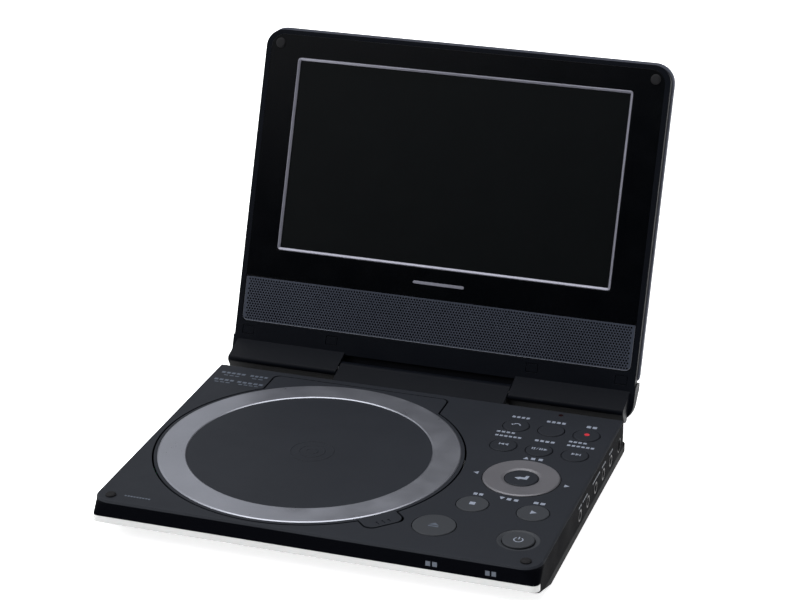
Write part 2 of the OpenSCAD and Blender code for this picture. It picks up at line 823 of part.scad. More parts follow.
module lid_front_frame() {
  color([0.22, 0.23, 0.26]) place_lid() difference() {
    union() {
      difference() {
        lid_slab(0, frame_t) frame_plan(0, frame_bottom);
        lid_slab(2.6, frame_t + 1) frame_plan(1.6, 13);
        // the middle is cut back for the hinge block
        lid_slab(-1, 10) flat_rect(-block_half_w - 0.5, block_half_w + 0.5, -20, middle_bottom);
      }
      // the lip that closes the lid behind the hinge block
      lid_slab(lip_d, lid_t - 0.3)
        flat_rect(-block_half_w - 1, block_half_w + 1, -s_above_axis - lip_below_axis, fill_top);
      for (side = [-1, 1]) barrel(side);
    }
    // seat for the glossy panel and the speaker grille
    lid_slab(-1, panel_t) rounded(-panel_half_w - 0.05, panel_half_w + 0.05,
                                  grille_bottom - 0.2, panel_top + 0.05, 3, 6.5);
    // openings for the screen and the speakers
    lid_slab(-1, 10) rounded(-picture_w / 2 - 2, picture_w / 2 + 2,
                             window_mid_s - picture_h / 2 - 2,
                             window_mid_s + picture_h / 2 + 2, 1, 1);
    for (side = [-1, 1])
      lid_slab(-1, 10) rounded(side * 60 - 24, side * 60 + 24, 17.5, 33, 4, 4);
    // bores for the hinge clips, and hollow ends for the wires
    translate([0, -face_behind_axis, -s_above_axis]) {
      bar(-block_half_w - 18, -block_half_w - 0.4, 0, 0, clip_r);
      bar(block_half_w + 0.4, block_half_w + 18, 0, 0, clip_r);
    }
    for (x = [-87.8, -47.2, 47.2, 87.8])
      lid_slab(-1, 0.9) rounded(x - 2.8, x + 2.8, 8.8, 12.9, 0.5, 0.5);
  }
}

module lid_back_shell() {
  color([0.30, 0.31, 0.34]) place_lid() difference() {
    hull() {
      lid_slab(frame_t, lid_t - 2.2) rounded(-lid_half_w, lid_half_w, 10.2, lid_h, 3, 9, $fn = HULL_FN);
      lid_slab(lid_t - 0.8, lid_t - 0.7)
        rounded(-lid_half_w + 0.8, lid_half_w - 0.8, 11, lid_h - 0.8, 3, 8.2, $fn = HULL_FN);
      lid_slab(lid_t - 0.1, lid_t)
        rounded(-lid_half_w + 2.4, lid_half_w - 2.4, 12.6, lid_h - 2.4, 3, 6.6, $fn = HULL_FN);
    }
    lid_slab(frame_t - 1, lid_t - 1.6) rounded(-lid_half_w + 1.8, lid_half_w - 1.8, 12.4, lid_h - 1.8, 2, 7);
  }
}

module glossy_panel() {
  color([0.02, 0.02, 0.03]) place_lid() difference() {
    lid_slab(0.05, panel_t)
      rounded(-panel_half_w, panel_half_w, grille_top + 0.35, panel_top, 0.5, 6.4);
    lid_slab(-1, 3) window_plan(0.1);
  }
}

// The window in the glossy panel, made larger by grow on every side.
module window_plan(grow) {
  rounded(-window_half_w - grow, window_half_w + grow,
          window_mid_s - window_half_h - grow, window_mid_s + window_half_h + grow, 0.5, 0.5);
}

// The thin silver frame round the screen.
module screen_bezel() {
  color([0.70, 0.71, 0.73]) place_lid() difference() {
    lid_slab(0, panel_t) window_plan(0);
    lid_slab(-1, 3) window_plan(-1.2);
  }
}

module lcd_panel() {
  color([0.06, 0.07, 0.08]) place_lid()
    lid_slab(1.1, frame_t + 1.2)
      rounded(-picture_w / 2 - 1.8, picture_w / 2 + 1.8, window_mid_s - picture_h / 2 - 1.8,
              window_mid_s + picture_h / 2 + 1.8, 0.8, 0.8);
}

module lcd_board() {
  color([0.07, 0.33, 0.18]) place_lid() union() {
    lid_slab(4.6, 5.6) rounded(-34, 34, 15, 45, 1, 1);
    lid_slab(5.5, 6.7) rounded(-24, -8, 20, 36, 0.5, 0.5);
    lid_slab(5.5, 6.4) rounded(4, 24, 24, 32, 0.5, 0.5);
  }
}

module speaker_grille() {
  color([0.12, 0.12, 0.13]) place_lid()
    lid_slab(0.1, panel_t) rounded(-panel_half_w + 0.3, panel_half_w - 0.3, grille_bottom + 0.1,
                                   grille_top, 2.6, 0.4);
}

module speakers() {
  color([0.10, 0.10, 0.10]) place_lid()
    for (side = [-1, 1]) {
      lid_slab(2.7, 4.2) rounded(side * 60 - 21, side * 60 + 21, 18.5, 34, 7, 7);
      lid_slab(4.1, 6.8) rounded(side * 60 - 9, side * 60 + 9, 19.5, 33, 4, 4);
      lid_slab(1.4, 2.8) rounded(side * 60 - 19, side * 60 + 19, 19.5, 31.5, 5.9, 5.9);
    }
}

module hinge_clips() {
  color([0.62, 0.63, 0.65]) place_lid()
    translate([0, -face_behind_axis, -s_above_axis])
      for (side = [-1, 1]) mirror([side < 0 ? 1 : 0, 0, 0]) difference() {
        bar(block_half_w + 1, block_half_w + 14, 0, 0, clip_r);
        bar(block_half_w, block_half_w + 15, 0, 0, shaft_r + shaft_play);
      }
}

module lid_bumpers() {
  color([0.12, 0.12, 0.13]) place_lid()
    for (side = [-1, 1])
      translate([side * bumper_dx, 0.05, lid_h - 7.5])
        rotate([90, 0, 0])
          rotate_extrude()
            polygon([[0, 0], [2.3, 0], [2.2, 0.5], [1.6, 0.9], [0, 1]]);
}

module screw_plugs() {
  color([0.17, 0.18, 0.20]) place_lid()
    for (x = [-87.8, -47.2, 47.2, 87.8])
      lid_slab(0.1, 0.9) rounded(x - 2.6, x + 2.6, 9.0, 12.7, 0.4, 0.4);
}

top_cabinet();
cabinet_walls();
jack_panel();
bottom_case();
front_strip();
disc_well();
hinge_block();
battery_hatch();
battery_pack();
main_board();
jack_board();
key_board();
key_domes();
power_ring();
jack(4);  // phone_jack_1
jack(3);  // phone_jack_2
jack(2);  // av_jack_1
jack(1);  // av_jack_2
jack(0);  // av_jack_3
dc_jack();
drive_deck();
deck_dampers();
drive_motors();
guide_rods();
remote_window();
hinge_brackets();
door_pins();
base_bumpers();
rubber_feet();
case_screws();
turntable();
pickup_sled();
pickup_lens();
lead_screw();
disc_door();
door_ring();
door_latch();
upper_key(-1, 0);  // mode_key
upper_key(0, 0);  // title_key
upper_key(1, 0);  // standby_key
upper_key(-1, 1);  // subtitle_key
upper_key(0, 1);  // menu_key
upper_key(1, 1);  // return_key
rocker_ring();
enter_key();
lower_key(key_x - lower_dx, lower_y, lower_r);  // stop_key
lower_key(key_x + lower_dx, lower_y, lower_r);  // play_key
open_key();
lower_key(power_x, power_y, power_r);  // power_key
lid_front_frame();
lid_back_shell();
glossy_panel();
screen_bezel();
lcd_panel();
lcd_board();
speaker_grille();
speakers();
hinge_clips();
lid_bumpers();
screw_plugs();
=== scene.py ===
import json
import math

import bmesh
import bpy
from mathutils import Matrix, Vector


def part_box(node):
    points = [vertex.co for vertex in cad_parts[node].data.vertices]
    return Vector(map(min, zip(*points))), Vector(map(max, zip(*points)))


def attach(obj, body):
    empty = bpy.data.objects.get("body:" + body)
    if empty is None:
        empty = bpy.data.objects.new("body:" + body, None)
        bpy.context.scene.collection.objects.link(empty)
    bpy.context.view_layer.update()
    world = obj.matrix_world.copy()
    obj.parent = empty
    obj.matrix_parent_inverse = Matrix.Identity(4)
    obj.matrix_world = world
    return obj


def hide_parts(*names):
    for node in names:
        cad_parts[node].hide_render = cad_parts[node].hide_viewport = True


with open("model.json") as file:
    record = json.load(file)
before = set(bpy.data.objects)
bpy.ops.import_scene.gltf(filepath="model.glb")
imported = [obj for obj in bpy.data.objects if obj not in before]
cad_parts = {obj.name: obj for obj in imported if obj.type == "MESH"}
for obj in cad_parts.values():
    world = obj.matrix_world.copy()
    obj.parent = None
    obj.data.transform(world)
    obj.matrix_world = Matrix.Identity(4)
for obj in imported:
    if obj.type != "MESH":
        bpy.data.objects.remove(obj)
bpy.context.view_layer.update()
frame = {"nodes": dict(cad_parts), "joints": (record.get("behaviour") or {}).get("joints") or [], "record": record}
NODES = frame["nodes"]
SLOT_OF = {s["node"]: s["material_slot"] for s in frame["record"]["subparts"]}
MM = 0.001


# ---------- places ----------

CASE_LOW, CASE_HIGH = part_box("top_cabinet")
FRONT_Y, TOP_Z = CASE_LOW.y, CASE_HIGH.z
CASE = Matrix.Translation((0, FRONT_Y, TOP_Z)) @ Matrix.Scale(MM, 4)  # mm from the front top edge

HINGE = Vector(next(j for j in frame["joints"] if j["name"] == "lid_hinge")["pos_m"])


def lean_of(node):
    """Angle by which the largest face of a node leans back from upright."""
    face = max(NODES[node].data.polygons, key=lambda f: f.area if f.normal.y < -0.2 else 0)
    return math.atan2(face.normal.z, -face.normal.y)


LID = Matrix.Translation(HINGE) @ Matrix.Rotation(-lean_of("lcd_panel"), 4, "X") @ Matrix.Scale(MM, 4)


def box_in(matrix, node):
    """Lowest and highest corner of a node in the coordinates of a matrix."""
    back = matrix.inverted()
    points = [back @ v.co for v in NODES[node].data.vertices]
    return (Vector([min(p[i] for p in points) for i in range(3)]),
            Vector([max(p[i] for p in points) for i in range(3)]))


def middle(node):
    low, high = box_in(CASE, node)
    return (low + high) / 2, high


# ---------- materials ----------

def grey(r, g, b):
    return (r, g, b, 1.0)


class Nodes:
    """A material's node tree, with short calls for the nodes that repeat."""

    def __init__(self, name):
        self.material = bpy.data.materials.new(name)
        self.material.use_nodes = True
        self.tree = self.material.node_tree
        self.shader = self.tree.nodes["Principled BSDF"]
        self.place = self.add("ShaderNodeTexCoord").outputs["Object"]

    def add(self, kind, **values):
        node = self.tree.nodes.new(kind)
        for key, value in values.items():
            setattr(node, key, value)
        return node

    def link(self, a, b):
        self.tree.links.new(a, b)

    def noise(self, scale, detail=2.0, rough=0.5, stretch=None):
        node = self.add("ShaderNodeTexNoise")
        node.inputs["Scale"].default_value = scale
        node.inputs["Detail"].default_value = detail
        node.inputs["Roughness"].default_value = rough
        source = self.place
        if stretch:
            mapping = self.add("ShaderNodeMapping")
            mapping.inputs["Scale"].default_value = stretch
            self.link(self.place, mapping.inputs["Vector"])
            source = mapping.outputs["Vector"]
        self.link(source, node.inputs["Vector"])
        return node.outputs["Fac"]

    def span(self, value, low, high, from_low=0.3, from_high=0.7):
        node = self.add("ShaderNodeMapRange")
        node.inputs["From Min"].default_value = from_low
        node.inputs["From Max"].default_value = from_high
        node.inputs["To Min"].default_value = low
        node.inputs["To Max"].default_value = high
        self.link(value, node.inputs["Value"])
        return node.outputs["Result"]

    def mix(self, factor, a, b):
        node = self.add("ShaderNodeMix", data_type="RGBA")
        self.link(factor, node.inputs[0])
        for socket, value in ((node.inputs[6], a), (node.inputs[7], b)):
            if isinstance(value, tuple):
                socket.default_value = value
            else:
                self.link(value, socket)
        return node.outputs[2]

    def below(self, height, soft):
        """1 under a height in metres and 0 over it."""
        node = self.add("ShaderNodeSeparateXYZ")
        self.link(self.place, node.inputs[0])
        return self.span(node.outputs["Z"], 1.0, 0.0, height - soft, height + soft)


# scales of the slow noises that every finish shares
DRIFT_SCALE, GLOSS_SCALE, RUB_SCALE = 22, 75, 160
FLECK_SCALE = 9000
COAT_ROUGHNESS = 0.08


def scaled(colour, k):
    return tuple(min(1.0, c * k) for c in colour[:3]) + (1.0,)


def finish_of(name, colour, rough, metallic=0.0, grain=2600, depth=0.02, drift=0.06, spread=0.05,
              specular=0.5, coat=0.0, round_mm=0.25, wear=1.25, stretch=None, fleck=0.0, ior=1.45):
    """A moulded or painted surface: fine grain, slow colour drift, uneven gloss and rubbed edges."""
    n = Nodes(name)
    shader = n.shader
    shader.inputs["Metallic"].default_value = metallic
    shader.inputs["Specular IOR Level"].default_value = specular
    shader.inputs["IOR"].default_value = ior
    shader.inputs["Coat Weight"].default_value = coat
    shader.inputs["Coat Roughness"].default_value = COAT_ROUGHNESS
    base = n.mix(n.span(n.noise(DRIFT_SCALE, 3), 0, 1), scaled(colour, 1 - drift), scaled(colour, 1 + drift))
    if fleck:
        base = n.mix(n.span(n.noise(FLECK_SCALE, 1), 0, 1), scaled(colour, 1 - fleck), base)
    fine = n.noise(grain, 3, 0.6, stretch)
    bump = n.add("ShaderNodeBump")
    bump.inputs["Strength"].default_value = 0.6
    bump.inputs["Distance"].default_value = depth * MM
    n.link(fine, bump.inputs["Height"])
    if round_mm:
        bevel = n.add("ShaderNodeBevel", samples=4)
        bevel.inputs["Radius"].default_value = round_mm * MM
        n.link(bevel.outputs["Normal"], bump.inputs["Normal"])
        dot = n.add("ShaderNodeVectorMath", operation="DOT_PRODUCT")
        n.link(bevel.outputs["Normal"], dot.inputs[0])
        n.link(n.add("ShaderNodeNewGeometry").outputs["Normal"], dot.inputs[1])
        rub = n.add("ShaderNodeMath", operation="MULTIPLY")
        n.link(n.span(dot.outputs["Value"], 0.0, 0.5, 0.99, 0.8), rub.inputs[0])
        n.link(n.span(n.noise(RUB_SCALE, 4), 0.3, 1.0), rub.inputs[1])
        base = n.mix(rub.outputs[0], base, scaled(colour, wear))
    n.link(base, shader.inputs["Base Color"])
    n.link(n.span(n.noise(GLOSS_SCALE, 4), rough - spread, rough + spread), shader.inputs["Roughness"])
    n.link(bump.outputs["Normal"], shader.inputs["Normal"])
    return n


CASE_GREY = grey(0.0125, 0.0140, 0.0178)
WALL_BLACK = grey(0.0012, 0.0014, 0.0022)
TOP_BAND, BAND_BLUR = 0.75 * MM, 0.1 * MM  # how far the charcoal comes down over the top edge
TOP_SPECULAR, WALL_SPECULAR = 0.5, 0.02


def case_material():
    """The cabinet: satin charcoal on top, and a darker smooth wall below the top edge."""
    n = finish_of("case_plastic", CASE_GREY, 0.5, specular=TOP_SPECULAR, depth=0.03, wear=1.6, ior=1.17)
    bare = n.shader.inputs["Base Color"].links[0].from_socket
    wall = n.below(TOP_Z - TOP_BAND, BAND_BLUR)
    n.link(n.mix(wall, bare, WALL_BLACK), n.shader.inputs["Base Color"])
    n.link(n.span(wall, TOP_SPECULAR, WALL_SPECULAR, 0, 1), n.shader.inputs["Specular IOR Level"])
    return n.material


def screen_material():
    """A dark anti-glare display with a faint glow of colour across it."""
    n = finish_of("screen_glass", grey(0.0005, 0.0009, 0.0012), 0.3, grain=4200, depth=0.004,
                  specular=0.15, round_mm=0, drift=0.05, spread=0.008)
    bare = n.shader.inputs["Base Color"].links[0].from_socket
    wide = n.noise(9, 1, 0.4, (1, 1, 0.6))
    n.link(n.mix(n.span(wide, 0, 0.6), bare, grey(0.0008, 0.0013, 0.0016)), n.shader.inputs["Base Color"])
    return n.material


def board_material():
    """Green solder mask with paler tracks along the edges of a pattern of cells."""
    n = finish_of("board_green", grey(0.02, 0.12, 0.06), 0.35, grain=900, depth=0.05)
    wave = n.add("ShaderNodeTexVoronoi", feature="DISTANCE_TO_EDGE")
    wave.inputs["Scale"].default_value = 260
    n.link(n.place, wave.inputs["Vector"])
    bare = n.shader.inputs["Base Color"].links[0].from_socket
    n.link(n.mix(n.span(wave.outputs["Distance"], 0.7, 0.0, 0.02, 0.06), bare, grey(0.05, 0.22, 0.10)),
           n.shader.inputs["Base Color"])
    return n.material


MATERIALS = {
    "case_plastic": case_material(),
    "under_plastic": finish_of("under_plastic", grey(0.0022, 0.0022, 0.0030), 0.6, depth=0.05,
                               ior=1.12).material,
    "shell_plastic": finish_of("shell_plastic", grey(0.080, 0.085, 0.107), 0.42, specular=0.2,
                               depth=0.02).material,
    "pale_strip": finish_of("pale_strip", grey(0.46, 0.46, 0.455), 0.4, depth=0.008, wear=1.05).material,
    "ring_silver": finish_of("ring_silver", grey(0.25, 0.257, 0.29), 0.32, metallic=0.85, grain=7000,
                             depth=0.006, fleck=0.12, wear=1.25).material,
    "rocker_silver": finish_of("rocker_silver", grey(0.098, 0.096, 0.106), 0.42, metallic=0.4,
                               grain=7000, depth=0.006, fleck=0.12, wear=2.4).material,
    "key_grey": finish_of("key_grey", grey(0.026, 0.028, 0.032), 0.42, depth=0.015, wear=2.4,
                          ior=1.2).material,
    "panel_black": finish_of("panel_black", grey(0.0006, 0.0008, 0.0012), 0.14, grain=500, depth=0.002,
                             coat=0.1, spread=0.03, specular=0.2, wear=1.0).material,
    "bezel_silver": finish_of("bezel_silver", grey(0.20, 0.20, 0.24), 0.36, metallic=0.5, grain=6000,
                              depth=0.004, fleck=0.1).material,
    "screen_glass": screen_material(),
    "grille_metal": finish_of("grille_metal", grey(0.031, 0.036, 0.050), 0.42, metallic=0.2, specular=0.2,
                              grain=3000, depth=0.01, round_mm=0).material,
    "rubber_black": finish_of("rubber_black", grey(0.006, 0.006, 0.007), 0.7, specular=0.15,
                              depth=0.04).material,
    "steel": finish_of("steel", grey(0.55, 0.55, 0.56), 0.28, metallic=1.0, grain=1800, depth=0.01,
                       stretch=(0.05, 1, 1)).material,
    "zinc": finish_of("zinc", grey(0.38, 0.38, 0.39), 0.42, metallic=0.9, grain=900, depth=0.02).material,
    "screw_black": finish_of("screw_black", grey(0.03, 0.03, 0.032), 0.4, metallic=0.8, grain=2000,
                             depth=0.02, wear=3.0).material,
    "board_green": board_material(),
    "jack_black": finish_of("jack_black", grey(0.014, 0.014, 0.016), 0.45, depth=0.02).material,
    "cell_wrap": finish_of("cell_wrap", grey(0.05, 0.15, 0.3), 0.3, grain=320, depth=0.12,
                           stretch=(1, 0.2, 1)).material,
    "lens": finish_of("lens", grey(0.10, 0.15, 0.5), 0.05, depth=0.0, coat=1.0).material,
    "window_red": finish_of("window_red", grey(0.008, 0.0015, 0.002), 0.15, specular=0.25,
                            depth=0.0).material,
    "cone_black": finish_of("cone_black", grey(0.003, 0.003, 0.003), 0.8, specular=0.05, grain=1200,
                            depth=0.08).material,
}

# painted shade: a darker copy of the case plastic for the case parts that get less light than the top plate
SHADED_CASE_COPY = finish_of("case_plastic_painted_shade", grey(0.0021, 0.0027, 0.0044), 0.42, depth=0.03, wear=2.5,
                      ior=1.13).material
SHADED_CASE_PARTS = ("lid_front_frame", "hinge_block", "screw_plugs")

for name, node in NODES.items():
    node.data.materials.clear()
    # these parts take the darker copy of the case plastic, which is painted shade
    node.data.materials.append(SHADED_CASE_COPY if name in SHADED_CASE_PARTS else MATERIALS[SLOT_OF[name]])


# ---------- pieces ----------

def piece(name, mesh_data, matrix, body, material, stands_for=()):
    """A new object from (vertices, faces) in the coordinates of a matrix."""
    vertices, faces = mesh_data
    mesh = bpy.data.meshes.new(name)
    mesh.from_pydata([matrix @ Vector(v) for v in vertices], [], faces)
    work = bmesh.new()
    work.from_mesh(mesh)
    bmesh.ops.remove_doubles(work, verts=work.verts, dist=1e-7)
    bmesh.ops.recalc_face_normals(work, faces=work.faces)
    work.to_mesh(mesh)
    work.free()
    obj = bpy.data.objects.new(name, mesh)
    bpy.context.scene.collection.objects.link(obj)
    mesh.materials.append(material)
    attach(obj, body)
    if stands_for:
        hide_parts(*stands_for)
    return obj


def prisms(outlines, low, high, turn=lambda x, y, z: (x, y, z)):
    """Flat shapes given the same thickness; turn places x, y and height."""
    vertices, faces = [], []
    for outline in outlines:
        start, count = len(vertices), len(outline)
        vertices += [turn(x, y, low) for x, y in outline] + [turn(x, y, high) for x, y in outline]
        faces.append(tuple(range(start + count - 1, start - 1, -1)))
        faces.append(tuple(range(start + count, start + 2 * count)))
        faces += [(start + i, start + (i + 1) % count, start + count + (i + 1) % count, start + count + i)
                  for i in range(count)]
    return vertices, faces


def rectangle(x, y, w, h):
    return [(x - w / 2, y - h / 2), (x + w / 2, y - h / 2), (x + w / 2, y + h / 2), (x - w / 2, y + h / 2)]


def pill(x, y, w, h, steps=6):
    """A bar with round ends."""
    r = h / 2
    half = [math.pi * (i / steps - 0.5) for i in range(steps + 1)]
    right = [(x + w / 2 - r + r * math.cos(a), y + r * math.sin(a)) for a in half]
    left = [(x - w / 2 + r - r * math.cos(a), y - r * math.sin(a)) for a in half]
    return right + left


def circle(x, y, r, steps=24):
    return [(x + r * math.cos(2 * math.pi * i / steps), y + r * math.sin(2 * math.pi * i / steps))
            for i in range(steps)]


def triangle(x, y, size, angle):
    """A solid arrow that points along angle, in degrees."""
    corners = [(0.5, 0), (-0.4, 0.5), (-0.4, -0.5)]
    c, s = math.cos(math.radians(angle)), math.sin(math.radians(angle))
    return [(x + size * (a * c - b * s), y + size * (a * s + b * c)) for a, b in corners]


def arc(x, y, r_in, r_out, start, end, steps=14):
    angles = [math.radians(start + (end - start) * i / steps) for i in range(steps + 1)]
    outer = [(x + r_out * math.cos(a), y + r_out * math.sin(a)) for a in angles]
    return outer + [(x + r_in * math.cos(a), y + r_in * math.sin(a)) for a in reversed(angles)]


def strokes(x0, x1, y, h, count):
    """A row of plain short blocks where words were printed."""
    pitch = (x1 - x0) / count
    return [rectangle(x0 + pitch * (i + 0.5), y, pitch * 0.7, h) for i in range(count)]


def ring_loops(loops, closed=True):
    """Faces between loops of the same length; the last loop joins the first where closed."""
    count = len(loops[0])
    vertices = [p for loop in loops for p in loop]
    faces = []
    for k in range(len(loops) if closed else len(loops) - 1):
        a, b = k * count, (k + 1) % len(loops) * count
        faces += [(a + i, a + (i + 1) % count, b + (i + 1) % count, b + i) for i in range(count)]
    return vertices, faces


def lid_shape(x, y, height):
    """Turns a flat outline into the face of the lid; height stands out of the face."""
    return x, -height, y


# ---------- the speaker grille ----------

GRILLE_CORNER = 2.6  # of its lower corners; millimetres, as all that follows

def grille_mesh():
    """A perforated sheet: staggered round holes in cells that share their corners."""
    low, high = box_in(LID, "speaker_grille")
    pitch, row_pitch, hole_r, margin = 1.3, 1.126, 0.45, 0.5
    thick, corner, top_corner, corner_steps = 0.2, GRILLE_CORNER, 0.4, 6
    columns = int((high.x - low.x - 2 * margin) / pitch)
    rows = int((high.z - low.z - 2 * margin) / row_pitch)
    x0 = (low.x + high.x - columns * pitch) / 2
    z0 = (low.z + high.z - rows * row_pitch) / 2
    front, back = low.y, low.y + thick
    work = bmesh.new()
    seen = {}

    def vertex(x, y, z):
        key = (round(x, 4), round(y, 4), round(z, 4))
        if key not in seen:
            seen[key] = work.verts.new(LID @ Vector((x, y, z)))
        return seen[key]

    def cell(x, z):
        corners = [(x, z), (x + pitch / 2, z), (x + pitch, z), (x + pitch, z + row_pitch),
                   (x + pitch / 2, z + row_pitch), (x, z + row_pitch)]
        cx, cz = x + pitch / 2, z + row_pitch / 2
        hole = [(cx + hole_r * math.cos(math.radians(210 + 30 * i)),
                 cz + hole_r * math.sin(math.radians(210 + 30 * i))) for i in range(12)]
        for depth, turned in ((front, False), (back, True)):
            for i in range(6):
                a, b = corners[i], corners[(i + 1) % 6]
                inner = [hole[(2 * i + 2) % 12], hole[2 * i + 1], hole[2 * i]]
                points = [vertex(p[0], depth, p[1]) for p in [a, b] + inner]
                work.faces.new(list(reversed(points)) if turned else points)
        for i in range(12):
            p, q = hole[i], hole[(i + 1) % 12]
            work.faces.new([vertex(p[0], front, p[1]), vertex(q[0], front, q[1]),
                            vertex(q[0], back, q[1]), vertex(p[0], back, p[1])])

    def plain(x, z):
        for depth, turned in ((front, False), (back, True)):
            points = [vertex(a, depth, b) for a, b in ((x, z), (x + pitch / 2, z),
                                                       (x + pitch / 2, z + row_pitch), (x, z + row_pitch))]
            work.faces.new(list(reversed(points)) if turned else points)

    for row in range(rows):
        z = z0 + row * row_pitch
        if row % 2:
            plain(x0, z)
            plain(x0 + (columns - 0.5) * pitch, z)
        for column in range(columns - row % 2):
            cell(x0 + (column + 0.5 * (row % 2)) * pitch, z)

    def outline(depth):
        points = []
        for cx, cz, r, start in ((high.x - corner, low.z + corner, corner, -90),
                                 (high.x - top_corner, high.z - top_corner, top_corner, 0),
                                 (low.x + top_corner, high.z - top_corner, top_corner, 90),
                                 (low.x + corner, low.z + corner, corner, 180)):
            angles = [math.radians(start + 90 * i / corner_steps) for i in range(corner_steps + 1)]
            points += [(cx + r * math.cos(a), cz + r * math.sin(a)) for a in angles]
        return [vertex(x, depth, z) for x, z in points]

    loops = {}
    for depth in (front, back):
        loops[depth] = outline(depth)
        edges = [work.edges.new((loops[depth][i], loops[depth][(i + 1) % len(loops[depth])]))
                 for i in range(len(loops[depth]))]
        xs, zs = (x0, x0 + columns * pitch), (z0, z0 + rows * row_pitch)
        level = {v for k, v in seen.items() if k[1] == round(depth, 4)
                 and (abs(k[0] - xs[0]) < 1e-3 or abs(k[0] - xs[1]) < 1e-3
                      or abs(k[2] - zs[0]) < 1e-3 or abs(k[2] - zs[1]) < 1e-3)}
        edges += [e for e in work.edges if e.is_boundary and e.verts[0] in level and e.verts[1] in level]
        bmesh.ops.triangle_fill(work, use_beauty=True, edges=list(set(edges)))
    count = len(loops[front])
    for i in range(count):
        work.faces.new([loops[front][i], loops[front][(i + 1) % count],
                        loops[back][(i + 1) % count], loops[back][i]])
    bmesh.ops.recalc_face_normals(work, faces=work.faces)
    vertices = [v.co.copy() for v in work.verts]
    work.verts.index_update()
    faces = [[v.index for v in f.verts] for f in work.faces]
    work.free()
    return vertices, faces


piece("perforated_grille", grille_mesh(), Matrix.Identity(4), "lid",
      MATERIALS["grille_metal"], ["speaker_grille"])
grille_low, grille_high = box_in(LID, "speaker_grille")
grille_size = grille_high - grille_low
backing = rectangle(0, (grille_low.z + grille_high.z) / 2, grille_size.x - 2, grille_size.z - 0.8)
BACKING_DEPTH, BACKING_THICK = 0.5, 0.2
piece("grille_backing", prisms([backing], -grille_low.y - BACKING_DEPTH - BACKING_THICK,
                               -grille_low.y - BACKING_DEPTH, lid_shape),
      LID, "lid", MATERIALS["cone_black"])


def swept(path, profile):
    """A band along an open path in X and Z; the profile is (sideways, out of the face)."""
    loops = []
    for i, (x, z) in enumerate(path):
        ahead, behind = path[min(i + 1, len(path) - 1)], path[max(i - 1, 0)]
        dx, dz = ahead[0] - behind[0], ahead[1] - behind[1]
        size = math.hypot(dx, dz)
        loops.append([(x - dz / size * side, -out, z + dx / size * side) for side, out in profile])
    count = len(profile)
    vertices, faces = ring_loops(loops, closed=False)
    faces.append(tuple(reversed(range(count))))
    faces.append(tuple(len(vertices) - count + i for i in range(count)))
    return vertices, faces


def grille_rim():
    low, high = box_in(LID, "speaker_grille")
    """The thin raised edge down both ends and along the bottom of the grille."""
    corner, inset = GRILLE_CORNER, 0.12
    path = [(low.x + inset, high.z - 0.5), (low.x + inset, low.z + corner)]
    for cx, start in ((low.x + corner, 180), (high.x - corner, 270)):
        path += [(cx + (corner - inset) * math.cos(math.radians(start + 10 * i)),
                  low.z + corner + (corner - inset) * math.sin(math.radians(start + 10 * i)))
                 for i in range(1, 10)]
    path.append((high.x - inset, high.z - 0.5))
    face = -low.y
    return swept(path, [(-0.12, face - 0.2), (0.14, face - 0.2), (0.14, face + 0.02),
                        (0.05, face + 0.08), (-0.06, face + 0.08), (-0.12, face + 0.02)])


piece("grille_rim", grille_rim(), LID, "lid",
      finish_of("rim_grey", grey(0.06, 0.065, 0.08), 0.4, metallic=0.4, grain=4000, depth=0.004,
                round_mm=0).material)


# ---------- the silver frame of the screen ----------

def bezel_mesh():
    """A frame with small round corners whose face slopes in towards the screen."""
    low, high = box_in(LID, "screen_bezel")
    corner = 1.5
    loops = []
    for inset, depth in ((0, 0.95), (0, 0.12), (0.1, 0.03), (0.34, 0.03), (0.44, 0.08),
                         (1.12, 0.72), (1.2, 0.95)):
        r = corner - inset
        loop = []
        for cx, cz, start in ((high.x - corner, low.z + corner, -90), (high.x - corner, high.z - corner, 0),
                              (low.x + corner, high.z - corner, 90), (low.x + corner, low.z + corner, 180)):
            loop += [(cx + r * math.cos(math.radians(start + 18 * i)), low.y + depth,
                      cz + r * math.sin(math.radians(start + 18 * i))) for i in range(6)]
        loops.append(loop)
    return ring_loops(loops)


piece("sloped_bezel", bezel_mesh(), LID, "lid", MATERIALS["bezel_silver"],
      ["screen_bezel"])


# ---------- print and symbols ----------

INK = finish_of("print_ink", grey(0.15, 0.168, 0.21), 0.5, grain=3500, depth=0.004, round_mm=0,
                drift=0.12).material
DIM_INK = finish_of("print_ink_dim", grey(0.042, 0.052, 0.072), 0.5, grain=3500, depth=0.004,
                    round_mm=0, drift=0.12).material
RED_INK = finish_of("print_ink_red", grey(0.36, 0.012, 0.022), 0.45, grain=3500, depth=0.004,
                    round_mm=0).material
THICK = 0.03  # of the print, in millimetres


def printed(name, outlines, body, level, material=INK):
    """Print on a level surface at a height in case coordinates."""
    return piece(name, prisms(outlines, level, level + THICK), CASE, body, material)


UPPER = {name: middle(name)[0] for name in ("mode_key", "title_key", "standby_key",
                                            "subtitle_key", "menu_key", "return_key")}
ROCKER = middle("rocker_ring")[0]
row_1, row_2 = UPPER["title_key"].y, UPPER["menu_key"].y
left_x, mid_x, right_x = (UPPER[n].x for n in ("mode_key", "title_key", "standby_key"))
arrow_y = ROCKER.y
STOP, PLAY, OPEN, POWER = (middle(n)[0] for n in ("stop_key", "play_key", "open_key", "power_key"))

